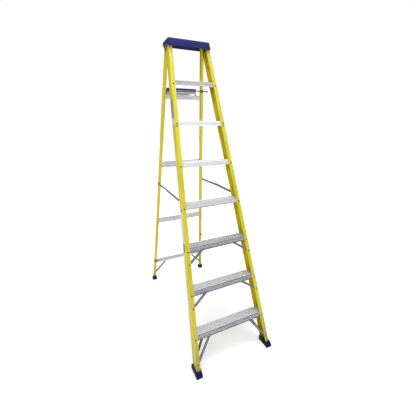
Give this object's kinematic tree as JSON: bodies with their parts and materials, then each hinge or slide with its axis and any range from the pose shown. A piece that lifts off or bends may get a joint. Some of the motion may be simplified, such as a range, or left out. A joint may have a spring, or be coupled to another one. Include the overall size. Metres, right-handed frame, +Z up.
{
  "type": "step ladder",
  "caption": "Folding step ladder with fibreglass rails, ribbed metal steps, a moulded top cap, locking spreaders and a folding pail shelf at the back.",
  "frame": {"origin": "on the floor, at the centre of the open ladder's footprint", "axes": "+Z up, +Y from the climbing side to the rear section, +X to the climber's right"},
  "size_m": [0.6236, 1.463, 2.3122],
  "materials": {
    "fibreglass": "pultruded fibreglass, satin yellow",
    "step_aluminium": "extruded, ribbed, mill finish",
    "bar_aluminium": "rolled, mill finish",
    "brace_metal": "pressed, dull",
    "boot_plastic": "moulded, near-black navy",
    "cap_plastic": "moulded, navy, light grain",
    "rubber": "ribbed tread",
    "spreader_steel": "dark zinc, painted",
    "plated_steel": "zinc plated",
    "rivet_metal": "dull rivet heads",
    "bushing_plastic": "nylon",
    "plate_film": "blank film plates",
    "shelf_metal": "pressed sheet",
    "trim_plastic": "moulded, navy",
    "latch_steel": "dark rod",
    "clip_plastic": "moulded, black"
  },
  "bodies": {
    "front_section": {"front_rail_left": "fibreglass", "front_rail_right": "fibreglass", "step_1": "step_aluminium", "step_2": "step_aluminium", "step_3": "step_aluminium", "step_4": "step_aluminium", "step_5": "step_aluminium", "step_6": "step_aluminium", "step_7": "step_aluminium", "knee_brace_1_left": "brace_metal", "knee_brace_2_left": "brace_metal", "knee_brace_3_left": "brace_metal", "knee_brace_rear_left": "brace_metal", "knee_brace_1_right": "brace_metal", "knee_brace_2_right": "brace_metal", "knee_brace_3_right": "brace_metal", "knee_brace_rear_right": "brace_metal", "front_left_boot": "boot_plastic", "front_left_pad": "rubber", "front_right_boot": "boot_plastic", "front_right_pad": "rubber", "top_cap": "cap_plastic", "hinge_bolt_left": "plated_steel", "hinge_bolt_right": "plated_steel", "hinge_bushings": "bushing_plastic", "spreader_bracket_left": "spreader_steel", "spreader_bracket_right": "spreader_steel", "spreader_pins_front": "plated_steel", "front_rivets": "rivet_metal", "cap_rivets": "rivet_metal", "rail_plates": "plate_film"},
    "rear_section": {"rear_rail_left": "fibreglass", "rear_rail_right": "fibreglass", "rear_bar_1": "bar_aluminium", "rear_bar_2": "bar_aluminium", "rear_bar_3": "bar_aluminium", "rear_bar_4": "bar_aluminium", "rear_brace_left": "brace_metal", "rear_brace_right": "brace_metal", "rear_left_boot": "boot_plastic", "rear_left_pad": "rubber", "rear_right_boot": "boot_plastic", "rear_right_pad": "rubber", "spreader_pins_rear": "plated_steel", "shelf_bracket_left": "shelf_metal", "shelf_bracket_right": "shelf_metal", "latch_rod": "latch_steel", "latch_clip": "latch_steel", "rear_clip_left": "clip_plastic", "rear_clip_right": "clip_plastic", "rear_rivets": "rivet_metal"},
    "spreader_front_bar_left": {"spreader_front_left": "spreader_steel", "spreader_rivet_left": "plated_steel"},
    "spreader_rear_bar_left": {"spreader_rear_left": "spreader_steel"},
    "spreader_front_bar_right": {"spreader_front_right": "spreader_steel", "spreader_rivet_right": "plated_steel"},
    "spreader_rear_bar_right": {"spreader_rear_right": "spreader_steel"},
    "shelf": {"pail_shelf": "shelf_metal", "pail_shelf_trim": "trim_plastic", "shelf_pins": "plated_steel"}
  },
  "joints": [
    {"name": "section_fold", "type": "hinge", "parent": "front_section", "child": "rear_section", "pos_m": [0, 0.0911, 2.27518], "axis": [-1, 0, 0], "range_deg": [0, 31.5]},
    {"name": "spreader_front_turn_left", "type": "hinge", "parent": "front_section", "child": "spreader_front_bar_left", "pos_m": [-0.22797, -0.26563, 1.15762], "axis": [1, 0, 0], "range_deg": [0, 64.41]},
    {"name": "spreader_rear_turn_left", "type": "hinge", "parent": "rear_section", "child": "spreader_rear_bar_left", "pos_m": [-0.22377, 0.39146, 1.16196], "axis": [-1, 0, 0], "range_deg": [0, 77.73]},
    {"name": "spreader_front_turn_right", "type": "hinge", "parent": "front_section", "child": "spreader_front_bar_right", "pos_m": [0.22797, -0.26563, 1.15762], "axis": [1, 0, 0], "range_deg": [0, 64.41]},
    {"name": "spreader_rear_turn_right", "type": "hinge", "parent": "rear_section", "child": "spreader_rear_bar_right", "pos_m": [0.22377, 0.39146, 1.16196], "axis": [-1, 0, 0], "range_deg": [0, 77.73]},
    {"name": "shelf_fold", "type": "hinge", "parent": "rear_section", "child": "shelf", "pos_m": [0, 0.16146, 1.97908], "axis": [1, 0, 0], "range_deg": [0, 105]}
  ],
  "couplings": [
    {"joint": "spreader_front_turn_left", "follows": "section_fold", "ratio": 2.0444},
    {"joint": "spreader_rear_turn_left", "follows": "section_fold", "ratio": 2.4673},
    {"joint": "spreader_front_turn_right", "follows": "section_fold", "ratio": 2.0444},
    {"joint": "spreader_rear_turn_right", "follows": "section_fold", "ratio": 2.4673}
  ]
}
